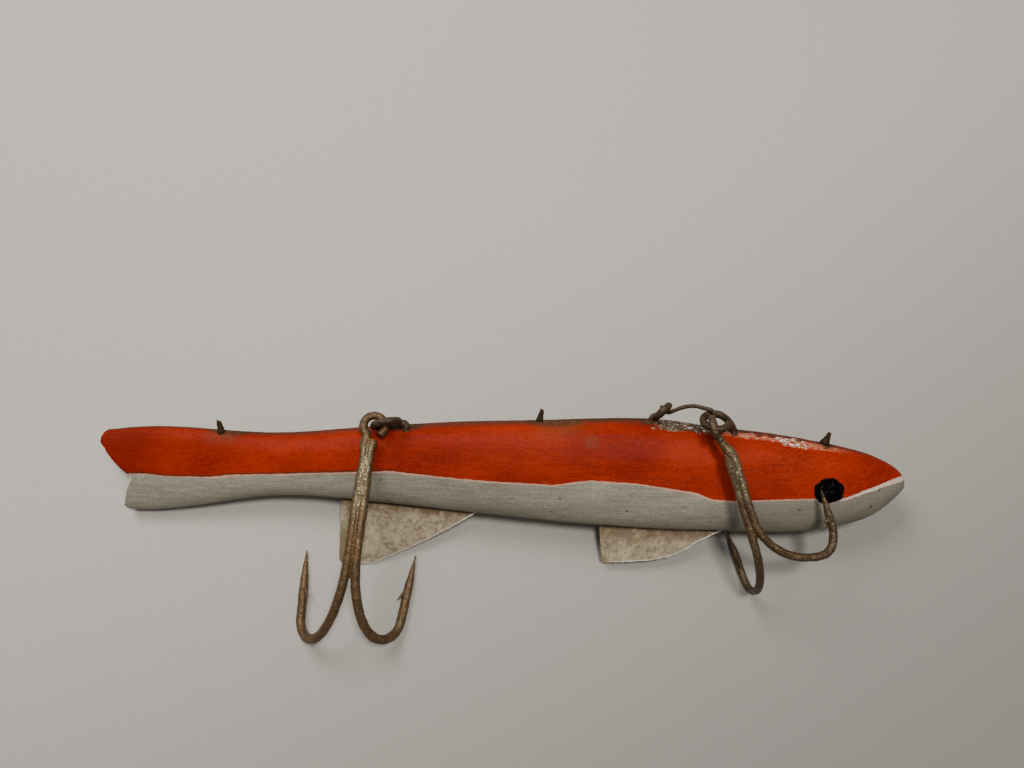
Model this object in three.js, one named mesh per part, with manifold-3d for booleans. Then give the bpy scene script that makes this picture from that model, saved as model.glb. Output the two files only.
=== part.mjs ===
// A carved wooden fish decoy with sheet-metal belly fins, nail stubs, screw eyes,
// a short wire line tie and two double hooks, lying on its left flank.
// Millimetres, +Z up, the nose towards +X and the back towards +Y.
import * as THREE from 'three';
import { mergeVertices } from 'three/addons/utils/BufferGeometryUtils.js';
import Module from 'manifold-3d';

const wasm = await Module();
wasm.setup();

// Body
const bodyLength = 191.6;       // tail tip to nose
const bodyDepth = 25.7;         // back to belly where the fish is deepest
const bodyThickness = 16;       // flank to flank where the fish is thickest
const tailX = -98.5;            // the tail tip, from the body frame's origin
const sawnOff = 3;              // the blank runs past the tail before the fork is sawn
const noseRun = 43;             // the length over which the head rounds off
const sectionRoundness = 2.8;   // 2 is an ellipse, more is a squarer section
const forkDepth = 8;            // how far the tail is notched
const forkHeight = -2.8;        // the notch, from the body's long axis
const forkUpperLip = 5.5;       // where the upper lobe's slanted edge starts
const forkLowerLip = -9.7;      // the lower lobe's tip
const lowerLobeSetback = 5.6;   // the lower lobe ends this far ahead of the tail tip
const lobeRounding = 2.2;

// How it lies
const rollAngle = THREE.MathUtils.degToRad(17);    // rolled a little onto the belly
const tailDrop = THREE.MathUtils.degToRad(1.75);    // the tail end lies lower
const flatDepth = 0.45;                            // carved off where the flank rests

// Fits
const slipGap = 0.3;            // between any piece and the wood around it

// Fins
const sheet = 0.5;
const tabDepth = 3;             // how deep a fin sits in its slot
const rearFinX = -40.8;         // the rear end of its root
const rearFinLength = 32;
const rearFinRake = 0.5;        // the rear edge runs back this far on its way down
const rearFinDrop = 15.6;       // below the belly at the rear edge
const rearFinFoot = 7.5;        // the short level stretch at the bottom
const rearFinCorner = 1.4;
const frontFinX = 20.8;
const frontFinLength = 29.4;
const frontFinDrop = 9.3;
const frontFinRake = 0.6;       // this one runs forward
const frontFinCorner = 1.2;

// Nails
const tailNailX = -69;
const backNailX = 6.7;
const headNailX = 73;
const nailRadius = 0.72;
const nailTipRadius = 0.42;
const nailStub = 2.9;           // how far a nail stands out
const nailBuried = 6;
const nailSide = 2;             // off the middle of the back, towards the right flank
const nailStraight = 0.25;      // share of the stub below its taper

// Screw eyes
const eyeWire = 1.3;            // diameter
const eyeBuried = 7;
const eyeOpening = 34;          // degrees of the ring left open beside the stem
const rearEyeX = -24.5;
const rearEyeSide = 4.2;        // off the middle of the back, towards the flank on show
const rearEyeStand = 1;         // how far the stem stands out before it bends over
const rearEyeReach = 5.2;       // from that bend to the middle of the ring
const rearEyeRing = 2.9;        // ring radius to the middle of the wire
const lineEyeX = 33;
const lineEyeSide = 2.5;
const lineEyeStand = 0.4;
const lineEyeReach = 3.1;
const lineEyeRing = 1.9;
const frontEyeX = 51.4;
const frontEyeSide = 4.4;
const frontEyeStand = 0.6;
const frontEyeReach = 7.4;
const frontEyeRing = 2.8;

// Line tie
const linkWire = 1;             // diameter
const linkRise = 1.35;           // how far the tie bows away from the back
const linkWrap = 185;           // degrees that each end is bent round its eye

// Hooks
const pointTip = 0.16;          // tip radius
const barbLength = 3.4;
const barbLift = 1.8;
const solderLength = 18;
const brazeDepth = 0.12;        // how far the two arms are sunk into each other

const solderThick = 1.95;       // across both wires, in wire radii
const solderRaised = 1.12;      // out from the shank, in wire radii
const coreShare = 0.7;          // of the wire, for the solder that fills the groove
const barbShare = 0.6;          // of the wire, at the root of a barb

// How finely the round forms are cut
const wireSides = 8;
const nailSides = 10;
const fineSides = 6;            // the tie, barbs and the like
const eyeSteps = 30;
const tieSteps = 36;
const armSteps = 31;
const hookRingSteps = 16;
const sink = 0.2;               // how far one part of a piece runs into the next

// A smooth curve through [share of the length, value] stations.
function smoothStations(stations) {
  const places = stations.map((station) => station[0]);
  const values = stations.map((station) => station[1]);
  const curve = new THREE.CubicInterpolant(places, values, 1);
  return (share) => curve.evaluate(THREE.MathUtils.clamp(share, 0, 1))[0];
}

// Body form, as shares of its own length, depth and thickness.
const depthShare = smoothStations([
  [0, 0.368], [0.065, 0.395], [0.227, 0.297], [0.36, 0.36], [0.5, 0.435], [0.687, 0.5], [0.78, 0.471],
  [1, 0.466],
]);
const axisShare = smoothStations([
  [0, -0.045], [0.065, -0.037], [0.227, 0.003], [0.38, 0.004], [0.54, -0.038], [0.687, -0.072],
  [0.78, -0.122], [0.9, -0.175], [1, -0.165],
]);
const thicknessShare = smoothStations([
  [0, 0.19], [0.07, 0.21], [0.227, 0.32], [0.36, 0.42], [0.5, 0.475], [0.7, 0.5], [0.8, 0.49], [1, 0.46],
]);

function noseClosure(x, power) {
  const into = (x - (tailX + bodyLength - noseRun)) / noseRun;
  return into <= 0 ? 1 : Math.pow(Math.max(0, 1 - into ** power), 1 / power);
}

function bodySection(x) {
  const share = (x - tailX) / bodyLength;
  return {
    axis: axisShare(share) * bodyDepth,
    halfDepth: depthShare(share) * bodyDepth * noseClosure(x, 2),
    halfThickness: thicknessShare(share) * bodyThickness * noseClosure(x, 2.3),
  };
}

function backHeight(x, z = 0) {
  const { axis, halfDepth, halfThickness } = bodySection(x);
  const out = Math.min(Math.abs(z) / halfThickness, 1);
  return axis + halfDepth * Math.pow(1 - out ** sectionRoundness, 1 / sectionRoundness);
}

function bellyHeight(x) {
  const { axis, halfDepth } = bodySection(x);
  return axis - halfDepth;
}

// Solids
function toSolid(geometry) {
  const bare = geometry.clone();
  bare.deleteAttribute('normal');
  bare.deleteAttribute('uv');
  const merged = mergeVertices(bare, 1e-4);
  return new wasm.Manifold(new wasm.Mesh({
    numProp: 3,
    vertProperties: new Float32Array(merged.attributes.position.array),
    triVerts: new Uint32Array(merged.index.array),
  }));
}

function toGeometry(solid) {
  const mesh = solid.getMesh();
  const geometry = new THREE.BufferGeometry();
  geometry.setAttribute('position', new THREE.BufferAttribute(new Float32Array(mesh.vertProperties), 3));
  geometry.setIndex(new THREE.BufferAttribute(new Uint32Array(mesh.triVerts), 1));
  geometry.computeVertexNormals();
  return geometry;
}

function joined(solids) {
  return solids.reduce((sum, solid) => sum.add(solid));
}

function cutAway(solid, cutters) {
  return cutters.reduce((rest, cutter) => rest.subtract(toSolid(cutter)), solid);
}

function namedMesh(name, geometry, material) {
  const mesh = new THREE.Mesh(geometry, material);
  mesh.name = name;
  return mesh;
}

// A round bar from one point to another, with its own radius at each end.
function bar(from, to, startRadius, endRadius, sides = wireSides) {
  const along = to.clone().sub(from);
  const geometry = new THREE.CylinderGeometry(endRadius, startRadius, along.length(), sides);
  const turn = new THREE.Quaternion().setFromUnitVectors(new THREE.Vector3(0, 1, 0), along.clone().normalize());
  geometry.applyQuaternion(turn);
  geometry.translate((from.x + to.x) / 2, (from.y + to.y) / 2, (from.z + to.z) / 2);
  return geometry;
}

// A wire of round section along a curve.
function wireAlong(curve, radius, steps, sides = wireSides) {
  const section = new THREE.Shape();
  for (let i = 0; i < sides; i += 1) {
    const angle = (i / sides) * Math.PI * 2;
    const corner = [radius * Math.cos(angle), radius * Math.sin(angle)];
    if (i === 0) section.moveTo(...corner);
    else section.lineTo(...corner);
  }
  return new THREE.ExtrudeGeometry(section, { steps, extrudePath: curve, bevelEnabled: false });
}

// The body's own frame laid on the surface: rolled, tail lowered and lifted onto its flat.
const layTurn = new THREE.Euler(rollAngle, -tailDrop, 0, 'YXZ');

function carvedBlank() {
  const radialSegments = 24;
  const lengthSegments = 52;
  const geometry = new THREE.SphereGeometry(1, radialSegments, lengthSegments);
  const position = geometry.attributes.position;
  for (let i = 0; i < position.count; i += 1) {
    const ring = Math.hypot(position.getX(i), position.getZ(i));
    const share = (1 + position.getY(i)) / 2;
    const x = tailX - sawnOff + share * (bodyLength + sawnOff);
    const { axis, halfDepth, halfThickness } = bodySection(x);
    const up = ring > 1e-6 ? -position.getX(i) / ring : 0;
    const side = ring > 1e-6 ? position.getZ(i) / ring : 0;
    const bulge = 2 / sectionRoundness;
    position.setXYZ(
      i,
      x,
      axis + halfDepth * Math.sign(up) * Math.abs(up) ** bulge,
      halfThickness * Math.sign(side) * Math.abs(side) ** bulge,
    );
  }
  return geometry;
}

// What is sawn away behind the forked tail.
function tailCut() {
  const behind = tailX - 10;
  const beyond = bodyDepth;
  const shape = new THREE.Shape();
  shape.moveTo(behind, beyond);
  shape.lineTo(tailX + lobeRounding, beyond);
  shape.lineTo(tailX + lobeRounding, backHeight(tailX) + 0.4);
  shape.quadraticCurveTo(tailX, backHeight(tailX), tailX, forkUpperLip);
  shape.quadraticCurveTo(tailX + forkDepth * 0.45, forkHeight * 0.1, tailX + forkDepth, forkHeight);
  shape.quadraticCurveTo(tailX + forkDepth * 0.8, forkLowerLip * 0.6, tailX + lowerLobeSetback, forkLowerLip);
  shape.quadraticCurveTo(
    tailX + lowerLobeSetback, forkLowerLip - lobeRounding * 0.7,
    tailX + lowerLobeSetback + lobeRounding * 2, forkLowerLip - lobeRounding,
  );
  shape.lineTo(tailX + lowerLobeSetback + lobeRounding * 2, -beyond);
  shape.lineTo(behind, -beyond);
  shape.closePath();
  const geometry = new THREE.ExtrudeGeometry(shape, {
    depth: bodyThickness * 2, bevelEnabled: false, curveSegments: 6,
  });
  geometry.translate(0, 0, -bodyThickness);
  return geometry;
}

const blank = carvedBlank();
const layMatrix = new THREE.Matrix4().makeRotationFromEuler(layTurn);
const laidBlank = blank.clone().applyMatrix4(layMatrix);
laidBlank.computeBoundingBox();
const layLift = -(laidBlank.boundingBox.min.z + flatDepth);
layMatrix.setPosition(0, 0, layLift);

// Everything below the surface, in the body's own frame.
function belowSurface() {
  const thickness = bodyThickness;
  const geometry = new THREE.BoxGeometry(bodyLength * 1.5, bodyDepth * 4, thickness);
  geometry.translate(0, 0, -thickness / 2);
  return geometry.applyMatrix4(layMatrix.clone().invert());
}

// Fins. Each outline is the sheet seen from the flank; the tab above its root line is buried.
function rootLine(rear, length) {
  const slope = (bellyHeight(rear + length) - bellyHeight(rear)) / length;
  return (x) => bellyHeight(rear) + slope * (x - rear);
}

function rearFinShape() {
  const front = rearFinX + rearFinLength;
  const root = rootLine(rearFinX, rearFinLength);
  const foot = root(rearFinX) - rearFinDrop;
  const heel = rearFinX - rearFinRake;
  const shape = new THREE.Shape();
  shape.moveTo(rearFinX, root(rearFinX) + tabDepth);
  shape.lineTo(rearFinX, root(rearFinX));
  shape.lineTo(heel, foot + rearFinCorner);
  shape.quadraticCurveTo(heel, foot, heel + rearFinCorner, foot);
  shape.lineTo(rearFinX + rearFinFoot, foot);
  shape.quadraticCurveTo(
    rearFinX + rearFinLength * 0.66, foot + rearFinDrop * 0.34,
    front, root(front),
  );
  shape.lineTo(front, root(front) + tabDepth);
  shape.closePath();
  return shape;
}

function frontFinShape() {
  const front = frontFinX + frontFinLength;
  const root = rootLine(frontFinX, frontFinLength);
  const foot = root(frontFinX) - frontFinDrop;
  const heel = frontFinX + frontFinRake;
  const shape = new THREE.Shape();
  shape.moveTo(frontFinX, root(frontFinX) + tabDepth);
  shape.lineTo(frontFinX, root(frontFinX));
  shape.lineTo(heel, foot + frontFinCorner);
  shape.quadraticCurveTo(heel, foot, heel + frontFinCorner, foot);
  shape.lineTo(frontFinX + frontFinLength * 0.4, foot + frontFinDrop * 0.06);
  shape.quadraticCurveTo(frontFinX + frontFinLength * 0.75, foot + frontFinDrop * 0.2, front, root(front));
  shape.lineTo(front, root(front) + tabDepth);
  shape.closePath();
  return shape;
}

function finPlate(shape) {
  const geometry = new THREE.ExtrudeGeometry(shape, { depth: sheet, bevelEnabled: false, curveSegments: 5 });
  geometry.translate(0, 0, -sheet / 2);
  return geometry;
}

// The slot a fin's tab sits in, open to the belly.
function finSlot(rear, length) {
  const root = rootLine(rear, length);
  const back = rear - slipGap;
  const front = rear + length + slipGap;
  const deep = tabDepth + slipGap;
  const below = bodyDepth / 2;
  const shape = new THREE.Shape();
  shape.moveTo(back, root(back) - below);
  shape.lineTo(front, root(front) - below);
  shape.lineTo(front, root(front) + deep);
  shape.lineTo(back, root(back) + deep);
  shape.closePath();
  const width = sheet + 2 * slipGap;
  const geometry = new THREE.ExtrudeGeometry(shape, { depth: width, bevelEnabled: false });
  geometry.translate(0, 0, -width / 2);
  return geometry;
}

// A drilled hole that leaves slipGap round a shank of this radius.
function drilling(from, to, shankRadius) {
  const sides = 12;
  const radius = (shankRadius + slipGap) / Math.cos(Math.PI / sides);
  return bar(from, to, radius, radius, sides);
}

// Nails: a blunt stub out of the back, the rest in its hole.
const nails = [
  { name: 'tail_nail', x: tailNailX, lean: -20 },
  { name: 'back_nail', x: backNailX, lean: 17 },
  { name: 'head_nail', x: headNailX, lean: 31 },
];

function nailAxis({ x, lean }) {
  const angle = THREE.MathUtils.degToRad(lean);
  return {
    foot: new THREE.Vector3(x, backHeight(x, nailSide), nailSide),
    direction: new THREE.Vector3(Math.sin(angle), Math.cos(angle), 0),
  };
}

function nailSolid(nail) {
  const { foot, direction } = nailAxis(nail);
  const bottom = foot.clone().addScaledVector(direction, -nailBuried);
  const shoulder = foot.clone().addScaledVector(direction, nailStub * nailStraight);
  const top = foot.clone().addScaledVector(direction, nailStub);
  const overlap = shoulder.clone().addScaledVector(direction, -sink);
  return joined([
    toSolid(bar(bottom, shoulder, nailRadius, nailRadius, nailSides)),
    toSolid(bar(overlap, top, nailRadius, nailTipRadius, nailSides)),
  ]);
}

function nailHole(nail) {
  const { foot, direction } = nailAxis(nail);
  const bottom = foot.clone().addScaledVector(direction, -nailBuried - slipGap);
  const outside = foot.clone().addScaledVector(direction, nailStub);
  return drilling(bottom, outside, nailRadius);
}

// Screw eyes. The stem goes straight into the back; where it comes out the eye is bent
// over towards the middle of its ring. The ring faces its own way.
function screwEye({ x, side, stand, reach, toward, facing, ring }) {
  const foot = new THREE.Vector3(x, backHeight(x, side), side);
  const knee = foot.clone().add(new THREE.Vector3(0, stand, 0));
  const centre = knee.clone().addScaledVector(toward.clone().normalize(), reach);
  const axis = facing.clone().normalize();
  const along = toward.clone().projectOnPlane(axis).normalize();
  const across = new THREE.Vector3().crossVectors(axis, along);
  const at = (degrees) => {
    const angle = THREE.MathUtils.degToRad(degrees);
    return centre.clone()
      .addScaledVector(along, ring * Math.cos(angle))
      .addScaledVector(across, ring * Math.sin(angle));
  };
  const tangentAt = (degrees) => at(degrees + 1).sub(at(degrees - 1)).normalize();
  return { foot, knee, centre, at, tangentAt };
}

function screwEyeSolid(eye) {
  const stemBottom = eye.foot.clone().add(new THREE.Vector3(0, -eyeBuried, 0));
  const points = [stemBottom, stemBottom.clone().lerp(eye.foot, 0.5), eye.foot.clone(), eye.knee.clone()];
  const ringStart = -150;
  const ringSteps = 16;
  for (let i = 0; i <= ringSteps; i += 1) {
    points.push(eye.at(ringStart + (i / ringSteps) * (360 - 2 * eyeOpening)));
  }
  const curve = new THREE.CatmullRomCurve3(points, false, 'centripetal');
  return toSolid(wireAlong(curve, eyeWire / 2, eyeSteps));
}

function screwEyeHole(eye) {
  const bottom = eye.foot.clone().add(new THREE.Vector3(0, -eyeBuried - slipGap, 0));
  const outside = eye.foot.clone().add(new THREE.Vector3(0, eyeWire * 1.5, 0));
  return drilling(bottom, outside, eyeWire / 2);
}

const rearEye = screwEye({
  x: rearEyeX, side: rearEyeSide, stand: rearEyeStand, reach: rearEyeReach, ring: rearEyeRing,
  toward: new THREE.Vector3(-0.75, 0.09, 0.66),
  facing: new THREE.Vector3(-0.19, 0.95, -0.24),
});
const lineEye = screwEye({
  x: lineEyeX, side: lineEyeSide, stand: lineEyeStand, reach: lineEyeReach, ring: lineEyeRing,
  toward: new THREE.Vector3(0.7, 0.56, 0.45),
  facing: new THREE.Vector3(0.66, -0.7, 0.2),
});
const frontEye = screwEye({
  x: frontEyeX, side: frontEyeSide, stand: frontEyeStand, reach: frontEyeReach, ring: frontEyeRing,
  toward: new THREE.Vector3(-0.72, 0.33, 0.65),
  facing: new THREE.Vector3(0, 0.83, 0.56),
});
const rearHookPlace = -42;      // degrees round the rear eye where its hook hangs
const frontHookPlace = 48;
const frontTiePlace = -108;
const lineTiePlace = 0;

// Points of a wire wrapped round an eye, from the side of the eye's wire that it comes in on
// and on through the eye.
function wrapRound(eye, place, firstSide) {
  const middle = eye.at(place);
  const tangent = eye.tangentAt(place);
  const side = firstSide.clone().projectOnPlane(tangent).normalize();
  const inward = eye.centre.clone().sub(middle).projectOnPlane(tangent).projectOnPlane(side).normalize();
  const radius = (eyeWire + linkWire) / 2 + slipGap * 1.3;
  const steps = 6;
  return Array.from({ length: steps + 1 }, (_, i) => {
    const angle = THREE.MathUtils.degToRad((linkWrap * i) / steps);
    return middle.clone()
      .addScaledVector(side, radius * Math.cos(angle))
      .addScaledVector(inward, radius * Math.sin(angle));
  });
}

// The line tie: one wire, wrapped round the line eye at one end and the front eye at the other.
function lineTieSolid() {
  const near = wrapRound(lineEye, lineTiePlace, new THREE.Vector3(0.6, -0.8, 0));
  const far = wrapRound(frontEye, frontTiePlace, new THREE.Vector3(-0.5, 0.2, 1));
  const span = [0.25, 0.5, 0.75].map((share) => near[0].clone().lerp(far[0], share)
    .add(new THREE.Vector3(0, linkRise * Math.sin(Math.PI * share), 0)));
  const curve = new THREE.CatmullRomCurve3([...near.reverse(), ...span, ...far], false, 'centripetal');
  return toSolid(wireAlong(curve, linkWire / 2, tieSteps, fineSides));
}

// A double hook in its own frame: the ring's centre at the origin, the shank along +X,
// the two arms opening to +Y and -Y and both falling towards -Z. The wire of the left arm
// also makes the ring, which ends free beside the shank; the right arm is brazed to it.

// How far the shank has moved over from the middle of the ring, along its length.
function shankShift(size, along) {
  return size.ringBend * THREE.MathUtils.smoothstep(along, size.ring * 0.3, size.ringBendEnd);
}

// How far the two wires are still turned about the shank, as the ring is.
function shankTurn(size, along) {
  const straightened = THREE.MathUtils.smoothstep(along, size.ring, size.ring * 4);
  return THREE.MathUtils.degToRad(size.ringTurn) * (1 - straightened);
}

function hookRingPoint(size, degrees) {
  const angle = THREE.MathUtils.degToRad(degrees);
  const turn = shankTurn(size, 0);
  const out = size.ring * Math.sin(angle);
  return new THREE.Vector3(size.ring * Math.cos(angle), out * Math.cos(turn), out * Math.sin(turn));
}

function armCurve(size, side) {
  const longer = side < 0 ? size.leftLonger : 0;
  const gap = size.gap + (side < 0 ? size.leftWider : 0);
  const splay = THREE.MathUtils.degToRad(size.splay);
  const straight = size.straight + longer;
  const reach = size.reach + longer;
  const belly = gap * size.bellyShare;
  const place = (along, out) => {
    const beside = size.wire / 2 - brazeDepth;
    const turn = shankTurn(size, along);
    return new THREE.Vector3(
      along,
      shankShift(size, along) + side * (beside * Math.cos(turn) + out * Math.sin(splay)),
      side * beside * Math.sin(turn) - out * Math.cos(splay),
    );
  };
  const points = side < 0 ? [-90, -72].map((degrees) => hookRingPoint(size, degrees)) : [];
  const neck = [side < 0 ? 1 : 1.3, 1.6, 2.4, 3.2];
  points.push(...neck.map((share) => place(size.ring * share, 0)));
  points.push(place(straight * 0.6, 0), place(straight, 0));
  const bendSteps = 6;
  for (let i = 1; i <= bendSteps; i += 1) {
    const angle = (i / bendSteps) * Math.PI / 2;
    points.push(place(straight + (reach - straight) * Math.sin(angle), belly * (1 - Math.cos(angle))));
  }
  for (let i = 1; i <= bendSteps; i += 1) {
    const angle = (i / bendSteps) * Math.PI / 2;
    points.push(place(
      reach - size.heel * (1 - Math.cos(angle)),
      belly + (gap - belly) * Math.sin(angle),
    ));
  }
  const tip = place(size.tip + longer, gap + size.pointLean);
  const leg = tip.clone().sub(points.at(-1)).normalize();
  const pointStart = tip.clone().addScaledVector(leg, -size.point);
  points.push(pointStart);
  const inward = place(reach, -1).sub(place(reach, 0)).normalize();
  return { curve: new THREE.CatmullRomCurve3(points, false, 'centripetal'), pointStart, tip, inward };
}

function hookArm(size, side) {
  const { curve, pointStart, tip, inward } = armCurve(size, side);
  const along = tip.clone().sub(pointStart).normalize();
  const radius = size.wire / 2;
  const shaft = toSolid(wireAlong(curve, radius, armSteps));
  const pointRoot = pointStart.clone().addScaledVector(along, -sink);
  const point = toSolid(bar(pointRoot, tip, radius, pointTip));
  const barbRoot = pointStart.clone().addScaledVector(along, barbLength * 0.2);
  const barbTip = barbRoot.clone()
    .addScaledVector(along, -barbLength * 0.8)
    .addScaledVector(inward, barbLift + radius);
  const barb = toSolid(bar(barbRoot, barbTip, radius * barbShare, pointTip, fineSides));
  return joined([shaft, point, barb]);
}

function hookSolid(size) {
  const radius = size.wire / 2;
  const ringPoints = [];
  for (let degrees = -60; degrees >= -320; degrees -= 20) ringPoints.push(hookRingPoint(size, degrees));
  const ringCurve = new THREE.CatmullRomCurve3(ringPoints, false, 'centripetal');
  const ring = toSolid(wireAlong(ringCurve, radius, hookRingSteps));
  const solderStart = size.ring * 1.5;
  const solderEnd = size.ring + solderLength * size.solderShare;
  const solderMiddle = (solderStart + solderEnd) / 2;
  const solder = new THREE.SphereGeometry(1, 10, 8);
  solder.scale((solderEnd - solderStart) / 2, radius * solderThick, radius * solderRaised);
  solder.translate(solderMiddle, shankShift(size, solderMiddle), 0);
  const corePoints = [1.4, 1.8, 2.4, 3.2, 5].map((share) => {
    const along = size.ring * share;
    return new THREE.Vector3(along, shankShift(size, along), 0);
  });
  const coreCurve = new THREE.CatmullRomCurve3(corePoints);
  const core = toSolid(wireAlong(coreCurve, radius * coreShare, corePoints.length * 2, fineSides));
  return joined([ring, core, toSolid(solder), hookArm(size, 1), hookArm(size, -1)]);
}

const rearHookSize = {
  wire: 2, ring: 2.4, ringBend: -0.65, ringBendEnd: 3.4, ringTurn: 0,
  straight: 27.4, reach: 47.5, gap: 16.6, bellyShare: 0.69, heel: 4.7, tip: 27.9, pointLean: 2.1,
  splay: 39.3, leftLonger: 1.6, leftWider: 1.2, solderShare: 1, point: 9,
};
const frontHookSize = {
  wire: 1.7, ring: 2.4, ringBend: 1.8, ringBendEnd: 7.2, ringTurn: 68,
  straight: 20.4, reach: 33, gap: 17.7, bellyShare: 0.78, heel: 6, tip: 19.2, pointLean: 0,
  splay: 40.3, leftLonger: 6, leftWider: -0.6, solderShare: 0.78, point: 7,
};

// A hook hangs from its eye with the shank turned to its heading and twisted about its
// length, and has swung down until a point or bend of it touches the surface.
function hangHook(mesh, eye, place, { heading, twist }) {
  const hanger = new THREE.Group();
  hanger.position.copy(eye.at(place).applyMatrix4(layMatrix));
  hanger.add(mesh);
  const turnTo = (rise) => hanger.rotation.set(
    THREE.MathUtils.degToRad(twist),
    THREE.MathUtils.degToRad(-rise),
    THREE.MathUtils.degToRad(heading - 90),
    'ZYX',
  );
  let low = -30;
  let high = 30;
  for (let i = 0; i < 24; i += 1) {
    turnTo((low + high) / 2);
    if (new THREE.Box3().setFromObject(hanger, true).min.z < 0) low = (low + high) / 2;
    else high = (low + high) / 2;
  }
  turnTo(high);
  return hanger;
}

// Finishes
function metal(colour, roughness, metalness) {
  return new THREE.MeshStandardMaterial({ color: colour, roughness, metalness });
}
const paintedWood = new THREE.MeshStandardMaterial({ color: 0xa8331b, roughness: 0.55, metalness: 0 });
const finSheet = metal(0x9d9482, 0.5, 0.7);
const rustyNail = metal(0x4a3526, 0.8, 0.4);
const rustyWire = metal(0x5d4a38, 0.7, 0.5);
const rustyHook = metal(0x6a4c33, 0.65, 0.5);

// Assembly
const body = cutAway(toSolid(blank), [
  tailCut(),
  belowSurface(),
  finSlot(rearFinX, rearFinLength),
  finSlot(frontFinX, frontFinLength),
  ...nails.map(nailHole),
  ...[rearEye, lineEye, frontEye].map(screwEyeHole),
]);

const laid = new THREE.Group();
laid.rotation.copy(layTurn);
laid.position.z = layLift;
laid.add(namedMesh('body', toGeometry(body), paintedWood));
laid.add(namedMesh('rear_fin', finPlate(rearFinShape()), finSheet));
laid.add(namedMesh('front_fin', finPlate(frontFinShape()), finSheet.clone()));
for (const nail of nails) {
  laid.add(namedMesh(nail.name, toGeometry(nailSolid(nail)), rustyNail.clone()));
}
laid.add(namedMesh('rear_screw_eye', toGeometry(screwEyeSolid(rearEye)), rustyWire));
laid.add(namedMesh('line_screw_eye', toGeometry(screwEyeSolid(lineEye)), rustyWire.clone()));
laid.add(namedMesh('front_screw_eye', toGeometry(screwEyeSolid(frontEye)), rustyWire.clone()));
laid.add(namedMesh('line_tie', toGeometry(lineTieSolid()), rustyWire.clone()));

const rearHook = namedMesh('rear_hook', toGeometry(hookSolid(rearHookSize)), rustyHook);
const frontHook = namedMesh('front_hook', toGeometry(hookSolid(frontHookSize)), rustyHook.clone());

const onSurface = new THREE.Group();
onSurface.add(laid);
onSurface.add(hangHook(rearHook, rearEye, rearHookPlace, { heading: -5.6, twist: -2.3 }));
onSurface.add(hangHook(frontHook, frontEye, frontHookPlace, { heading: 16.4, twist: 42 }));

// The origin is under the middle of the whole object, on the surface it lies on.
onSurface.updateMatrixWorld(true);
const extent = new THREE.Box3().setFromObject(onSurface, true);
onSurface.position.set(-(extent.min.x + extent.max.x) / 2, -(extent.min.y + extent.max.y) / 2, -extent.min.z);

const decoy = new THREE.Group();
decoy.add(onSurface);

export default decoy;
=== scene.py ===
import math
import bpy
import bmesh
from mathutils import Matrix, Vector, noise


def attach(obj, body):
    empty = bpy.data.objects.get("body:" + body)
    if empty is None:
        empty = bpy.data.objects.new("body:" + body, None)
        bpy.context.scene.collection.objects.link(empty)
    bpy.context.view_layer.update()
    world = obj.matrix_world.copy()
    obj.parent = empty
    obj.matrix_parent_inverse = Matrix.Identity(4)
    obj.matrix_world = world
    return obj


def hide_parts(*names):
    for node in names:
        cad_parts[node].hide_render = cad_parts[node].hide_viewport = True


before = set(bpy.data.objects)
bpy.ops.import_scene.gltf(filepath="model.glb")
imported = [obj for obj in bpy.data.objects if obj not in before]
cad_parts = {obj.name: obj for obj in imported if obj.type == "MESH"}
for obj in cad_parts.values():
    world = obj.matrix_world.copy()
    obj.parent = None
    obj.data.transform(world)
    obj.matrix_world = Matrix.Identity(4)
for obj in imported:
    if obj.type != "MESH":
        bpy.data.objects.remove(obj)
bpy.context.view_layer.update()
scene = bpy.context.scene
millimetre = 0.001
toMetres = Matrix.Scale(millimetre, 4)  # pieces are modelled in millimetres and brought down at the end
upright = Vector((0, 0, 1))


# A curve through [share of the length, value] stations, with the same bends as the solid's.
def stationCurve(stations):
    places = [s[0] for s in stations]
    values = [s[1] for s in stations]
    last = len(places) - 1

    def valueAt(share):
        share = min(max(share, 0), 1)
        i = max(k for k in range(last) if places[k] <= share)
        t0, t1 = places[i], places[i + 1]
        before, tBefore = (i - 1, places[i - 1]) if i > 0 else (i + 1, t1)
        after, tAfter = (i + 2, places[i + 2]) if i + 2 <= last else (i, t0)
        half = (t1 - t0) / 2
        wBefore = half / (t0 - tBefore)
        wAfter = half / (tAfter - t1)
        p = (share - t0) / (t1 - t0)
        return (
            (-wBefore * p ** 3 + 2 * wBefore * p * p - wBefore * p) * values[before]
            + ((1 + wBefore) * p ** 3 + (-1.5 - 2 * wBefore) * p * p + (-0.5 + wBefore) * p + 1) * values[i]
            + ((-1 - wAfter) * p ** 3 + (1.5 + wAfter) * p * p + 0.5 * p) * values[i + 1]
            + (wAfter * p ** 3 - wAfter * p * p) * values[after]
        )
    return valueAt


def ease(value, low, high):
    t = min(max((value - low) / (high - low), 0), 1)
    return t * t * (3 - 2 * t)


def turned(degrees, axis):
    return Matrix.Rotation(math.radians(degrees), 4, axis)


# The part of a direction that stands square to an axis, one long
def squareTo(axis, direction):
    return (direction - axis * direction.dot(axis)).normalized()


# Points along a bend from start to end, without the start
def quadratic(start, bend, end, steps):
    return [
        tuple((1 - t) ** 2 * a + 2 * t * (1 - t) * b + t * t * c for a, b, c in zip(start, bend, end))
        for t in [i / steps for i in range(1, steps + 1)]
    ]


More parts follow.
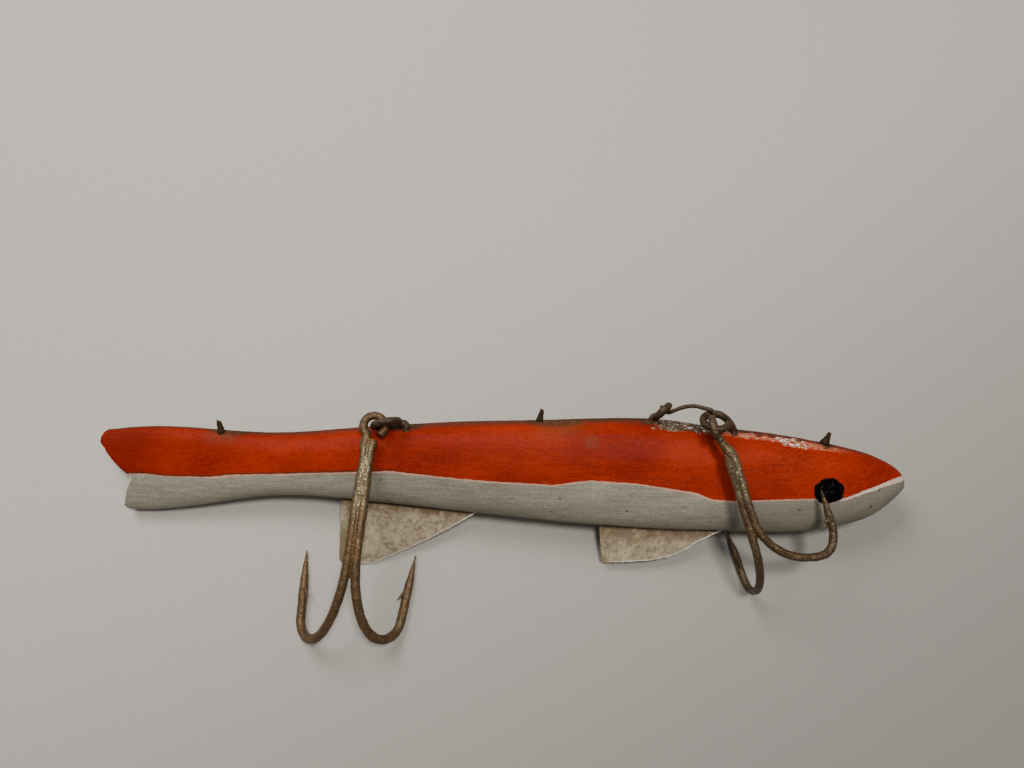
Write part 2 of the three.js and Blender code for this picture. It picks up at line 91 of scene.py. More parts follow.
# The wooden fish, in its own frame: x to the nose, y to the back, z to the flank on show.
wood = {
    "length": 191.6,
    "depth": 25.7,
    "thickness": 16,
    "tailX": -98.5,
    "sawnOff": 3,
    "noseRun": 43,
    "noseFullness": (2, 2.3),  # seen from the side, and from above
    "roundness": 2.8,  # 2 is an ellipse, more is squarer
    "roll": 17,  # degrees onto the belly as it lies
    "tailDrop": 1.75,  # degrees the tail hangs below the nose
    "lift": 8.45,
    "place": (2.742, 13.535),
    "chinFrom": 81,  # the chin is cut up from here to the nose
    "chinCut": 1.5,
    "chinTop": 2,  # the cut starts this far above the middle line
    "chinRun": 7,  # and is full this much lower
    "blunted": 0.8,  # taken off the nose
    "ringSides": 88,
    "rings": 330,
    "grain": 0.42,  # spacing of the finished mesh
}

# Along the length: half the depth, the middle line's height, and half the thickness, as shares
depthShare = stationCurve([
    (0, 0.368), (0.065, 0.395), (0.227, 0.297), (0.36, 0.36), (0.5, 0.435), (0.687, 0.5), (0.78, 0.471),
    (1, 0.466),
])
axisShare = stationCurve([
    (0, -0.045), (0.065, -0.037), (0.227, 0.003), (0.38, 0.004), (0.54, -0.038), (0.687, -0.072),
    (0.78, -0.122), (0.9, -0.175), (1, -0.165),
])
thicknessShare = stationCurve([
    (0, 0.19), (0.07, 0.21), (0.227, 0.32), (0.36, 0.42), (0.5, 0.475), (0.7, 0.5), (0.8, 0.49), (1, 0.46),
])


# How the nose closes: 1 behind it, 0 at its tip
def noseClosure(x, fullness):
    into = (x - (wood["tailX"] + wood["length"] - wood["noseRun"])) / wood["noseRun"]
    return 1 if into <= 0 else max(0, 1 - into ** fullness) ** (1 / fullness)


def bodySection(x):
    share = (x - wood["tailX"]) / wood["length"]
    fromSide, fromAbove = wood["noseFullness"]
    return (
        axisShare(share) * wood["depth"],
        depthShare(share) * wood["depth"] * noseClosure(x, fromSide),
        thicknessShare(share) * wood["thickness"] * noseClosure(x, fromAbove),
    )


def backHeight(x, z=0):
    axis, halfDepth, halfThickness = bodySection(x)
    out = min(abs(z) / halfThickness, 1)
    return axis + halfDepth * (1 - out ** wood["roundness"]) ** (1 / wood["roundness"])


def bellyHeight(x):
    axis, halfDepth = bodySection(x)[:2]
    return axis - halfDepth


# A place on the back, side millimetres over to the flank on show
def onBack(x, side):
    return Vector((x, backHeight(x, side), side))


layTurn = turned(-wood["tailDrop"], "Y") @ turned(wood["roll"], "X")
layMatrix = Matrix.Translation((*wood["place"], wood["lift"])) @ layTurn

# Camera: high over the belly side, looking down at the flank
camera = {
    "place": (0, -32.004, 189.771),  # from the middle of the fish's frame
    "down": 74,
    "roll": 0.5,
    "lens": 27.035,
    "sensor": 36,
    "nearest": 0.01,  # metres
}


def addObject(name, data):
    obj = bpy.data.objects.new(name, data)
    scene.collection.objects.link(obj)
    return obj


def addCamera():
    data = bpy.data.cameras.new("photo_view")
    data.lens = camera["lens"]
    data.sensor_width = camera["sensor"]
    data.clip_start = camera["nearest"]
    obj = addObject("photo_view", data)
    place = Vector(camera["place"]) + Vector((*wood["place"], 0))
    turn = turned(90 - camera["down"], "X") @ turned(camera["roll"], "Z")
    obj.matrix_world = Matrix.Translation(place * millimetre) @ turn
    scene.camera = obj


# Mesh helpers
def meshFrom(bm, name):
    bmesh.ops.recalc_face_normals(bm, faces=bm.faces)
    mesh = bpy.data.meshes.new(name)
    bm.to_mesh(mesh)
    bm.free()
    return mesh


def vertsIn(geometry):
    return [g for g in geometry if isinstance(g, bmesh.types.BMVert)]


def edgesIn(geometry):
    return [g for g in geometry if isinstance(g, bmesh.types.BMEdge)]


# Draws the next ring out of an open one.
def nextRing(bm, edges):
    out = bmesh.ops.extrude_edge_only(bm, edges=edges)["geom"]
    return vertsIn(out), edgesIn(out)


# Cuts with a plane. What lies in front of it or behind it may go, and the cut is closed.
def sawThrough(bm, at, facing, behind=False, front=False):
    cut = bmesh.ops.bisect_plane(
        bm, geom=bm.verts[:] + bm.edges[:] + bm.faces[:], plane_co=at, plane_no=facing,
        clear_inner=behind, clear_outer=front)
    if behind or front:
        bmesh.ops.holes_fill(bm, edges=edgesIn(cut["geom_cut"]))


# Runs one modifier on a bmesh and hands back the result.
def modified(bm, kind, settings):
    obj = addObject("scratch", meshFrom(bm, "scratch"))
    mod = obj.modifiers.new("shape", kind)
    for key, value in settings.items():
        setattr(mod, key, value)
    result = bmesh.new()
    bpy.context.view_layer.update()
    result.from_mesh(obj.evaluated_get(bpy.context.evaluated_depsgraph_get()).to_mesh())
    bpy.data.objects.remove(obj)
    return result


# One skin over all that has been joined, of even small faces
def remeshed(bm, spacing):
    return modified(bm, "REMESH", {"mode": "VOXEL", "voxel_size": spacing})


def smoothen(bm, factor):
    bmesh.ops.smooth_vert(
        bm, verts=bm.verts, factor=factor, use_axis_x=True, use_axis_y=True, use_axis_z=True)


# A wire of round section through points, as a closed mesh. radii may taper it.
def wireMesh(points, radius, radii=None, sides=4, steps=6):
    data = bpy.data.curves.new("wire", "CURVE")
    data.dimensions = "3D"
    data.bevel_depth = radius
    data.bevel_resolution = sides
    data.resolution_u = steps
    data.use_fill_caps = True
    spline = data.splines.new("BEZIER")
    spline.bezier_points.add(len(points) - 1)
    for i, (knot, point) in enumerate(zip(spline.bezier_points, points)):
        knot.co = point
        knot.handle_left_type = knot.handle_right_type = "AUTO"
        knot.radius = radii[i] if radii else 1
    obj = addObject("wire", data)
    bpy.context.view_layer.update()
    mesh = bpy.data.meshes.new_from_object(obj.evaluated_get(bpy.context.evaluated_depsgraph_get()))
    bpy.data.objects.remove(obj)
    bm = bmesh.new()
    bm.from_mesh(mesh)
    bmesh.ops.remove_doubles(bm, verts=bm.verts, dist=1e-5)
    return bm


def joinInto(bm, other):
    mesh = bpy.data.meshes.new("part")
    other.to_mesh(mesh)
    other.free()
    bm.from_mesh(mesh)


# Pushes each vertex along its normal by amount(place).
def carve(bm, amount):
    bm.normal_update()
    moves = [(v, v.normal * amount(v.co)) for v in bm.verts]
    for v, move in moves:
        v.co += move


noiseShift = (7.3, 3.1, 5.7)  # how far each seed moves the noise


# Uneven skin for carve: (scale, depth) noises laid over each other, less what is eaten away
def roughSkin(layers, seed, eaten=0):
    shift = Vector([seed * step for step in noiseShift])
    return lambda co: sum(depth * noise.noise(co * scale + shift) for scale, depth in layers) - eaten


# Nothing dips into the table once the mesh is in its place.
def keepAboveTable(bm, place):
    up = place.inverted().to_3x3() @ upright
    for v in bm.verts:
        depth = (place @ v.co).z
        if depth < 0:
            v.co -= up * depth


# Puts a finished bmesh on the table as a piece of the object.
def addPiece(name, bm, place, node, material, smooth=True):
    print(name, len(bm.verts), "points")
    bmesh.ops.transform(bm, matrix=toMetres @ place, verts=bm.verts)
    for face in bm.faces:
        face.smooth = smooth
    mesh = meshFrom(bm, name)
    mesh.materials.append(material)
    obj = addObject(name, mesh)
    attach(obj, "root")
    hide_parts(node)


# Shader values: one socket each. + - * / ** between them, or with numbers, add Math nodes.
class Value:
    def __init__(self, tree, socket=None):
        self.tree = tree
        self.socket = socket

    def node(self, kind, settings=None, sockets=None, output=0):
        made = self.tree.nodes.new(kind)
        for key, setting in (settings or {}).items():
            if key == "stops":
                ramp = made.color_ramp
                while len(ramp.elements) < len(setting):
                    ramp.elements.new(0.5)
                for element, (position, tone) in zip(ramp.elements, setting):
                    element.position = position
                    element.color = tone
            else:
                setattr(made, key, setting)
        for key, value in (sockets or {}).items():
            if isinstance(value, Value):
                self.tree.links.new(value.socket, made.inputs[key])
            else:
                made.inputs[key].default_value = value
        return Value(self.tree, made.outputs[output])

    def math(self, operation, *values):
        return self.node("ShaderNodeMath", {"operation": operation}, dict(enumerate(values)))

    def __add__(self, other):
        return self.math("ADD", self, other)

    def __sub__(self, other):
        return self.math("SUBTRACT", self, other)

    def __mul__(self, other):
        return self.math("MULTIPLY", self, other)

    def __truediv__(self, other):
        return self.math("DIVIDE", self, other)

    def __pow__(self, other):
        return self.math("POWER", self, other)

    def __rsub__(self, other):
        return self.math("SUBTRACT", other, self)

    __radd__ = __add__
    __rmul__ = __mul__

    def most(self, other):
        return self.math("MAXIMUM", self, other)

    def least(self, other):
        return self.math("MINIMUM", self, other)

    def size(self):
        return self.math("ABSOLUTE", self)

    # how far a pattern is from its middle, times amount
    def swing(self, amount):
        return (self - 0.5) * amount

    # 0 below low, 1 above high, smooth between
    def rise(self, low, high):
        return self.node("ShaderNodeMapRange", {"interpolation_type": "SMOOTHSTEP"},
                         {"Value": self, "From Min": low, "From Max": high})

    # 1 below low, 0 above high
    def fall(self, low, high):
        return 1 - self.rise(low, high)

    # a smooth mask that is 1 about here and 0 beyond reach
    def near(self, here, reach):
        return (self - here).size().fall(reach * 0.5, reach)

    def vector(self, operation, other, output=0):
        return self.node("ShaderNodeVectorMath", {"operation": operation}, {0: self, 1: other}, output)

    def dot(self, direction):
        return self.vector("DOT_PRODUCT", direction, "Value")

    # the same mask round a place: 1 up to inner, 0 beyond outer
    def around(self, place, inner, outer):
        return self.vector("DISTANCE", place, "Value").fall(inner, outer)

    def mixed(self, first, second):
        return self.node("ShaderNodeMix", {"data_type": "RGBA"}, {0: self, 6: first, 7: second}, 2)

    def noise(self, scale, detail, roughness, distortion=0):
        return self.node("ShaderNodeTexNoise", None, {
            "Vector": self, "Scale": scale, "Detail": detail, "Roughness": roughness,
            "Distortion": distortion,
        })

    # one noise for each row: stretch along and across, scale, detail, roughness, perhaps distortion
    def patterns(self, rows):
        return [
            self.vector("MULTIPLY", (along, across, across)).noise(*rest)
            for along, across, *rest in rows.values()
        ]

    def specks(self, scale, size):
        cells = self.node("ShaderNodeTexVoronoi", None, {"Vector": self, "Scale": scale})
        return cells.fall(size * 0.5, size)

    def parts(self):
        split = self.node("ShaderNodeSeparateXYZ", None, {0: self})
        return [Value(self.tree, out) for out in split.socket.node.outputs]


def colour(red, green, blue):
    return (red, green, blue, 1)


# A new material; place is the frame, in millimetres, that its patterns are laid out in.
def startMaterial(name, place):
    material = bpy.data.materials.new(name)
    material.use_nodes = True
    start = Value(material.node_tree)
    back = place.inverted()
    coordinates = start.node("ShaderNodeTexCoord", output="Object")
    where = coordinates.node("ShaderNodeMapping", None, {
        "Vector": coordinates, "Location": back.to_translation(), "Rotation": back.to_euler("XYZ"),
        "Scale": [1 / millimetre] * 3,
    })
    return material, where


# Height is in millimetres; shine is the shader's specular level.
def finishMaterial(material, base, roughness, metallic, height, shine=0.5):
    tree = material.node_tree
    shader = tree.nodes["Principled BSDF"]
    shader.inputs["Specular IOR Level"].default_value = shine
    bump = base.node("ShaderNodeBump", None, {"Height": height, "Distance": millimetre, "Strength": 1})
    feeds = {"Base Color": base, "Roughness": roughness, "Metallic": metallic, "Normal": bump}
    for key, value in feeds.items():
        if isinstance(value, Value):
            tree.links.new(value.socket, shader.inputs[key])
        else:
            shader.inputs[key].default_value = value
    return material


# Paint: red over the back, silver under it, a pale undercoat where the two meet, bare wood where it is worn.
paint = {
    "line": [  # x, height of the red's lower edge
        (-98, -2.0), (-86, -2.1), (-82, -2.6), (-71, -2.7), (-66, -2.1), (-53, -1.7), (-39, -1.2),
        (-28, -0.8), (-21, -1.5), (-12, -2.4), (-3, -3.05), (10, -3.7), (18, -2.6), (29, -3.3), (42, -5.3),
        (46, -6.9), (51, -7.15), (65, -6.7), (76, -6.7), (81, -4.9), (88, -2.6), (93, -1.6),
    ],
    "lineRange": (-8, 0),
    "undercoat": [  # x, how wide the pale edge shows below the red
        (-92, 0.18), (-72, 0.20), (-68, 0.65), (-63, 0.2), (-53, 0.5), (-50, 0.25), (-20, 0.25), (12, 0.32),
        (30, 0.28), (45, 0.45), (52, 0.3), (70, 0.3), (76, 0.5), (82, 0.7), (88, 1.0), (93, 1.2),
    ],
    "undercoatRange": (0, 2),
    "red": colour(0.225, 0.0080, 0.0010),
    "redDeep": colour(0.115, 0.0038, 0.0008),
    "redBright": colour(0.320, 0.0200, 0.0015),
    "silver": colour(0.210, 0.190, 0.142),
    "silverDark": colour(0.120, 0.109, 0.082),
    "silverLight": colour(0.300, 0.278, 0.222),
    "pale": colour(0.68, 0.60, 0.50),
    "pink": colour(0.40, 0.11, 0.050),
    "olive": colour(0.17, 0.150, 0.085),
    "woodDark": colour(0.042, 0.018, 0.008),
    "woodPale": colour(0.17, 0.090, 0.045),
    "brown": colour(0.115, 0.042, 0.016),
    "black": colour(0.0015, 0.0012, 0.0012),
    "shine": 0.08,
    "eye": (72.25, -4.9),
    "eyeHalf": (3.55, 3.1),
    # x of each nail and eye, and how far the wood round it is stained
    "drivenIn": [(-67, 6.5), (-24.5, 5.5), (10, 8), (33, 4), (51.4, 5), (73, 3)],
    "barest": (21, 17),  # x and reach of the most worn stretch of the back
    "rubbedBrown": [  # places and their reach
        ((18.5, 6, 6.5), 2.5), ((9.5, 10, 4), 6), ((14, 10, 4), 5), ((-70, 8.4, 4), 4.5),
        ((-66.5, 8.2, 4), 4),
    ],
    "scraped": (39.5, 8.5),  # ahead of the line eye
    # the pale band over the head: rubbed paint with a painted highlight
    "headRubAndSheen": (62, 17),
    "headChips": 64.5,
    "notch": (-88.5, -2.8, 6),
    "patterns": {  # stretch along and across the fish, scale, detail, roughness, distortion
        "streaks": (0.05, 1.5, 1.6, 6, 0.62),
        "fine": (0.30, 3.0, 1.8, 5, 0.65),
        "broad": (0.5, 1, 0.09, 4, 0.55),
        "mottle": (1, 1, 0.9, 5, 0.6),
        "flakes": (0.7, 1, 1.7, 4, 0.7),
        "grit": (1, 1, 4.5, 3, 0.6),
        "specked": (1, 1, 2.1, 4, 0.85),
        "wavy": (1, 1, 0.55, 2, 0.5),
        "scratches": (0.16, 2.2, 2.3, 3, 0.75, 0.6),
    },
}


# A height that follows [x, height] stations between low and high, as a ramp over x
def heightRamp(x, stations, low, high):
    first, last = stations[0][0], stations[-1][0]
    stops = [((sx - first) / (last - first), colour(*[(sy - low) / (high - low)] * 3)) for sx, sy in stations]
    share = (x - first) / (last - first)
    return share.node("ShaderNodeValToRGB", {"stops": stops}, {"Fac": share}) * (high - low) + low


def paintedWood():
    material, where = startMaterial("painted_wood", layMatrix)
    normal = where.node("ShaderNodeNewGeometry", output="Normal")
    x, y = where.parts()[:2]
    patterns = where.patterns(paint["patterns"])
    streaks, fine, broad, mottle, flakes, grit, specked, wavy, scratches = patterns
    over = y - (heightRamp(x, paint["line"], *paint["lineRange"]) + mottle.swing(0.5))
    red = over.rise(-0.08, 0.08)
    undercoatWidth = heightRamp(x, paint["undercoat"], *paint["undercoatRange"]) * (0.3 + flakes * 1.4)
    undercoat = (over + undercoatWidth).rise(-0.08, 0.08) * over.fall(-0.02, 0.12)

    # one brushed coat, with darker and brighter specks in it
    def coat(tone, dark, plain, bright, darkSpecks, brightSpecks):
        made = tone.mixed(paint[dark], paint[bright])
        made = (0.4 * grit.rise(0.3, 0.7)).mixed(made, paint[plain])
        made = (specked.rise(0.50, 0.66) * darkSpecks).mixed(made, paint[dark])
        return (specked.fall(0.32, 0.48) * brightSpecks).mixed(made, paint[bright])

    redTone = (broad.swing(1.8) + streaks.swing(0.7) + fine.swing(0.9) + 0.5).rise(0, 1)
    redColour = coat(redTone, "redDeep", "red", "redBright", 0.75, 0.70)
    scratched = scratches.rise(0.60, 0.68) * (0.05 + x.rise(50, 62) * 0.30)
    redColour = scratched.mixed(redColour, paint["pink"])
    redColour = (x.fall(-92, -74) * 0.5).mixed(redColour, paint["redDeep"])

    silverTone = (streaks.swing(1.3) + broad.swing(1.2) + fine.swing(0.9) + 0.5).rise(0, 1)
    silverColour = coat(silverTone, "silverDark", "silver", "silverLight", 0.7, 0.55)
    # painted shade: the silver darkens towards the head, where the front hook shades it
    silverColour = (x.rise(44, 60) * 0.45).mixed(silverColour, paint["silverDark"])
    pits = where.specks(0.28, 0.12) * mottle.rise(0.5, 0.6)
    silverColour = (pits * 0.8).mixed(silverColour, paint["woodDark"])

    base = red.mixed(silverColour, redColour)
    darkLine = (over.near(0.12, 0.35) * x.fall(-40, -10) * (0.3 + flakes)).least(0.8)
    base = darkLine.mixed(base, paint["woodDark"])
    whiter = (x.rise(66, 82) * 0.35 + flakes * 0.6).least(0.85)
    base = undercoat.mixed(base, whiter.mixed(paint["pink"], paint["pale"]))

    # worn along the back, and stained where nails and eyes were driven in
    backward = normal.dot(layTurn.col[1].to_3d())
    ragged = mottle.swing(0.7) + streaks.swing(0.4)
    stained = sum(where.around(onBack(sx, 2), 0.8, reach) * 0.55 for sx, reach in paint["drivenIn"])
    dirt = (backward + ragged * 0.4 + stained * 0.45 - 0.76).rise(0, 0.28)
    base = (dirt * 0.75).mixed(base, paint["woodDark"])
    worn = (backward + ragged * 0.5 + stained * 0.35 + x.near(*paint["barest"]) * 0.08 - 1.0).rise(0, 0.07)
    bareTone = (mottle * 1.4 + grit * 0.5 - 0.7).rise(0.1, 0.9)
    base = worn.mixed(base, bareTone.mixed(paint["woodDark"], paint["woodPale"]))

    # brown rubbed through the red below the back
    for place, reach in paint["rubbedBrown"]:
        rubbed = where.around(place, reach * 0.3, reach) * (mottle * 1.2 + specked * 0.8 - 0.6).rise(0.1, 0.5)
        base = (rubbed * red * 0.5).mixed(base, paint["brown"])
        base = (rubbed * flakes.rise(0.62, 0.66) * 0.35).mixed(base, paint["pink"])

    # a scraped patch ahead of the line eye
    onPatch = (x + mottle.swing(9) + broad.swing(12)).near(*paint["scraped"])
    scraped = onPatch * (backward + ragged * 0.6 - 0.62).rise(0, 0.10)
    greener = (mottle * 1.2 + grit * 0.5 - 0.55).rise(0.1, 0.8)
    base = (scraped * 0.95).mixed(base, greener.mixed(paint["woodDark"], paint["olive"]))

    # the pale band over the head, rubbed paint with a painted highlight of the light along the rounded back,
    # and white chips in both
    overHead = (x + mottle.swing(8)).near(*paint["headRubAndSheen"])
    beside = (backward + ragged * 0.35 - 0.62).rise(0, 0.14) * (backward + ragged * 0.15).fall(0.86, 0.95)
    rubAndSheen = overHead * beside
    base = (rubAndSheen * (0.35 + mottle * 0.9)).least(1).mixed(base, paint["pink"])
    chipped = (flakes + x.near(paint["headChips"], 4) * 0.07).rise(0.54, 0.58)
    chipsIn = rubAndSheen * (0.4 + x.near(paint["headChips"], 5) * 0.6) + scraped * grit.rise(0.40, 0.50)
    chips = chipped * chipsIn.least(1)
    base = chips.mixed(base, paint["pale"])

    # paint knocked off along the sawn end of the tail and at its notch
    backEnd = normal.dot(-layTurn.col[0].to_3d()).rise(0.15, 0.55) * x.fall(-88, -84)
    notch = where.around(paint["notch"], 1.5, 4.5)
    nicks = ((backEnd * 0.5 + notch * 0.6) * (0.4 + flakes) * 1.3).rise(0.40, 0.56)
    base = nicks.mixed(base, paint["pale"])

    # the painted eye on each side of the head
    across = (x - paint["eye"][0]) / paint["eyeHalf"][0]
    down = (y - paint["eye"][1]) / paint["eyeHalf"][1]
    eyeReach = (across * across + down * down) ** 0.5 + wavy.swing(0.45) + mottle.swing(0.15)
    eye = eyeReach.fall(0.95, 1.0) * backward.size().fall(0.8, 0.9)
    base = eye.mixed(base, paint["black"])

    # painted glints: pale specks of light on the glossy red, more of them towards the back
    paintedGlints = grit.rise(0.66, 0.70) * specked.rise(0.5, 0.6) * (0.25 + backward.rise(0.2, 0.8) * 0.5)
    base = (paintedGlints * red).mixed(base, paint["pink"])

    bare = worn.most(chips).most(nicks)
    roughness = 0.50 + streaks.swing(0.2) + fine.swing(0.2) + bare * 0.3 + dirt * 0.12
    roughness = roughness * (1 - eye) + eye * (0.10 + mottle.swing(0.2))
    metallic = silverTone * (1 - red) * (1 - bare) * 0.2
    height = fine.swing(0.05) + streaks.swing(0.05) + grit.swing(0.03) + red * 0.05 - bare * 0.12
    height = height - pits * 0.10 + eye * 0.15 + eye * wavy.swing(0.5)
    return finishMaterial(material, base, roughness, metallic, height, paint["shine"])


# Body
tail = {
    "forkDepth": 8, "forkHeight": -2.8, "upperLip": 5.5, "lowerLip": -9.7, "setback": 5.6, "rounding": 2.2,
    "upperBend": (0.45, 0.1),  # shares of the fork's depth and height
    "lowerBend": (0.8, 0.6),  # and of the fork's depth and the lower lip's height
    "spare": 10,  # how far the cut reaches out behind
}


# What was sawn away behind the fork, a little proud of the fish on both flanks.
def tailCutter():
    tailX = wood["tailX"]
    top = backHeight(tailX)
    r = tail["rounding"]
    outX = tailX - tail["spare"]
    fork = (tailX + tail["forkDepth"], tail["forkHeight"])
    tip = (tailX + tail["setback"], tail["lowerLip"])
    upperBend = (tailX + tail["forkDepth"] * tail["upperBend"][0], tail["forkHeight"] * tail["upperBend"][1])
    lowerBend = (tailX + tail["forkDepth"] * tail["lowerBend"][0], tail["lowerLip"] * tail["lowerBend"][1])
    points = [(outX, wood["depth"]), (tailX + r, wood["depth"]), (tailX + r, top + 0.4)]
    points += quadratic(points[-1], (tailX, top), (tailX, tail["upperLip"]), 8)
    points += quadratic(points[-1], upperBend, fork, 10)
    points += quadratic(fork, lowerBend, tip, 10)
    points += quadratic(tip, (tip[0], tip[1] - r * 0.7), (tip[0] + r * 2, tip[1] - r), 8)
    points += [(tip[0] + r * 2, -wood["depth"]), (outX, -wood["depth"])]
    bm = bmesh.new()
    face = bm.faces.new([bm.verts.new((px, py, -wood["thickness"])) for px, py in points])
    slab = bmesh.ops.extrude_face_region(bm, geom=[face])
    bmesh.ops.translate(bm, vec=(0, 0, 2 * wood["thickness"]), verts=vertsIn(slab["geom"]))
    return addObject("tail_cut", meshFrom(bm, "tail_cut"))


carving = {
    "knife": (0.045, 0.20, 0.22),  # spacing along and across the fish, and depth
    "grain": (0.20, 1.6, 0.035),
    "lumps": (0.5, 0.05),
    "takenOff": 0.10,
    "dents": [  # chips and dents in the wood: x, y, reach along and up, depth
        (-88, -2.3, 1.2, 0.6, 0.35), (-57, -2.3, 1.4, 0.5, 0.20), (39.5, -9.0, 0.7, 0.5, 0.35),
        (28, -6.6, 0.5, 0.4, 0.2), (57, 8.0, 1.6, 0.7, 0.22), (60, 7.5, 1.1, 0.6, 0.25),
        (66.5, 6.0, 2.2, 1.0, 0.30), (72, 5.2, 1.5, 0.8, 0.25), (8, -2.7, 1.0, 0.5, 0.2),
        (-4, -5.9, 0.8, 0.4, 0.15),
    ],
}


def carveWood(co):
    def marks(along, across, depth):
        return noise.noise(Vector((co.x * along, co.y * across, co.z * across))) * depth

    lumpSpacing, lumpDepth = carving["lumps"]
    lumps = noise.noise(co * lumpSpacing + Vector((3, 9, 1)))
    move = marks(*carving["knife"]) + marks(*carving["grain"]) + lumps * lumpDepth - carving["takenOff"]
    for x, y, along, up, depth in carving["dents"]:
        away = math.hypot((co.x - x) / along, (co.y - y) / up)
        if away < 1.4 and co.z > 0:  # only in the flank on show
            move -= depth * (1 - ease(away + lumps * 0.6, 0.4, 1.1))
    return move


def makeBody(material):
    bm = bmesh.new()
    ring = bmesh.ops.create_circle(bm, segments=wood["ringSides"], radius=1)["verts"]
    corners = [(v.co.x, v.co.y) for v in ring]
    bulge = 2 / wood["roundness"]
    start = wood["tailX"] - wood["sawnOff"]
    span = wood["length"] + wood["sawnOff"]
    bmesh.ops.contextual_create(bm, geom=ring)
    edges = bm.edges[:]
    for i in range(wood["rings"]):
        if i > 0:
            ring, edges = nextRing(bm, edges)
        share = i / wood["rings"]
        crowded = (1 - math.cos(math.pi * share)) / 2  # closer together towards both ends
        x = start + span * (crowded + share) / 2
        axis, halfDepth, halfThickness = bodySection(x)
        for v, (side, up) in zip(ring, corners):
            v.co = (
                x,
                axis + halfDepth * math.copysign(abs(up) ** bulge, up),
                halfThickness * math.copysign(abs(side) ** bulge, side),
            )
    bmesh.ops.contextual_create(bm, geom=edges)
    rest = layMatrix.inverted()  # the table top, in the fish's frame: flat where the flank rests on it
    sawThrough(bm, rest.to_translation(), rest.to_3x3() @ upright, behind=True)
    cutter = tailCutter()
    bm = modified(bm, "BOOLEAN", {"object": cutter, "operation": "DIFFERENCE", "solver": "EXACT"})
    bpy.data.objects.remove(cutter)
    bm = remeshed(bm, wood["grain"])
    for i in range(2):
        smoothen(bm, 0.5)
    carve(bm, carveWood)
    for v in bm.verts:  # the chin is cut up towards the nose
        forward = ease(v.co.x, wood["chinFrom"], wood["tailX"] + wood["length"])
        below = ease(bodySection(v.co.x)[0] + wood["chinTop"] - v.co.y, 0, wood["chinRun"])
        v.co += Vector((-wood["blunted"] * forward, wood["chinCut"] * forward * below, 0))
    keepAboveTable(bm, layMatrix)
    addPiece("carved_fish", bm, layMatrix, "body", material)


# Fins, cut from thin sheet
fins = {
    "sheet": 0.5,
    "tab": 3,
    "grid": 0.8,  # spacing of the cuts that let the sheet bow
    "snips": 0.16,  # how uneven the shears left the edge
    "softened": 0.07,  # bevel on the cut edge
    "rear": {
        "x": -40.8, "length": 32.6, "drop": 15.6, "rake": -0.5, "corner": 1.4, "bow": 0.25,
        "foot": (7.5, 0),  # the straight bottom edge ends here
        "bend": (0.66, 0.34), "kink": (1, 0), "bendSteps": 16,  # shares of length and drop
        "dirt": 0, "seed": 3,
    },
    "front": {
        "x": 20.8, "length": 29.4, "drop": 9.3, "rake": 0.6, "corner": 1.2, "bow": 0.18,
        "foot": (11.76, 0.558),
        "bend": (0.62, 0.14), "kink": (0.78, 0.36), "bendSteps": 12,
        "dirt": 0.1, "seed": 8,
    },
    "dull": colour(0.22, 0.160, 0.088),
    "clean": colour(0.46, 0.380, 0.250),
    "grey": colour(0.42, 0.375, 0.285),
    "stain": colour(0.11, 0.052, 0.016),
    "olive": colour(0.20, 0.15, 0.055),
    "spots": colour(0.055, 0.038, 0.02),
    # rust, with painted shade where the fin goes into the belly
    "rootLine": colour(0.05, 0.027, 0.012),
    # bare cut metal with a painted highlight along the snipped edge
    "cutEdgeAndHighlight": colour(0.85, 0.79, 0.64),
    "patterns": {  # stretch along and across the fish, scale, detail, roughness, distortion
        "blotch": (1, 1, 0.32, 5, 0.6, 0.6),
        "cloudy": (1, 1, 1.1, 5, 0.65),
        "fine": (1, 1, 5, 4, 0.6),
        "scratch": (0.5, 3, 2.5, 3, 0.6),
    },
}


# The height of the belly where a fin stands, as a straight line
def finRoot(fin):
    slope = (bellyHeight(fin["x"] + fin["length"]) - bellyHeight(fin["x"])) / fin["length"]
    return lambda x: bellyHeight(fin["x"]) + slope * (x - fin["x"])


def finOutline(fin):
    root = finRoot(fin)
    back = fin["x"]
    front = back + fin["length"]
    foot = root(back) - fin["drop"]
    heel = back + fin["rake"]
    c = fin["corner"]
    bend = (back + fin["length"] * fin["bend"][0], foot + fin["drop"] * fin["bend"][1])
    kinkX = back + fin["length"] * fin["kink"][0]
    points = [(back, root(back) + fins["tab"]), (back, root(back)), (heel, foot + c)]
    points += quadratic(points[-1], (heel, foot), (heel + c, foot), 6)
    points.append((back + fin["foot"][0], foot + fin["foot"][1]))
    kink = (kinkX, root(kinkX) - fin["drop"] * fin["kink"][1])
    points += quadratic(points[-1], bend, kink, fin["bendSteps"])
    if kinkX < front:
        points.append((front, root(front)))
    points.append((front, root(front) + fins["tab"]))
    return points


def nearestOn(point, start, end):
    share = (point - start).dot(end - start) / (end - start).length_squared
    return start.lerp(end, min(1, max(0, share)))


